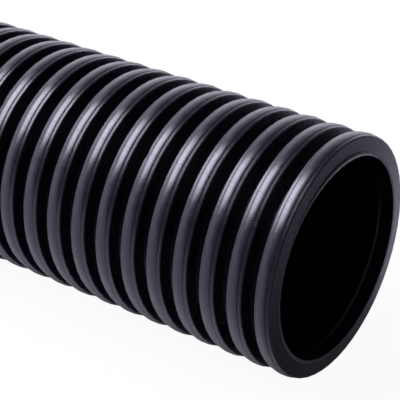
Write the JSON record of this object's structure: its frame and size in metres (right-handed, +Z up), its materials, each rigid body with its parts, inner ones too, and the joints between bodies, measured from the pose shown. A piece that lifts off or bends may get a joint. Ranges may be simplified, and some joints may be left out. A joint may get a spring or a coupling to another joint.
{
  "type": "corrugated cable duct",
  "caption": "Straight length of black twin-wall plastic cable duct with a smooth round bore and a ribbed outside, sawn square at both ends.",
  "frame": {"origin": "on the floor under the middle of the duct, straight below its axis", "axes": "+X along the duct's axis towards the end sawn close to a rib, +Z up, +Y to the left seen along +X"},
  "size_m": [1, 0.11, 0.11],
  "materials": {
    "black_polyethylene": "satin"
  },
  "bodies": {
    "root": {"duct": "black_polyethylene"}
  },
  "joints": []
}
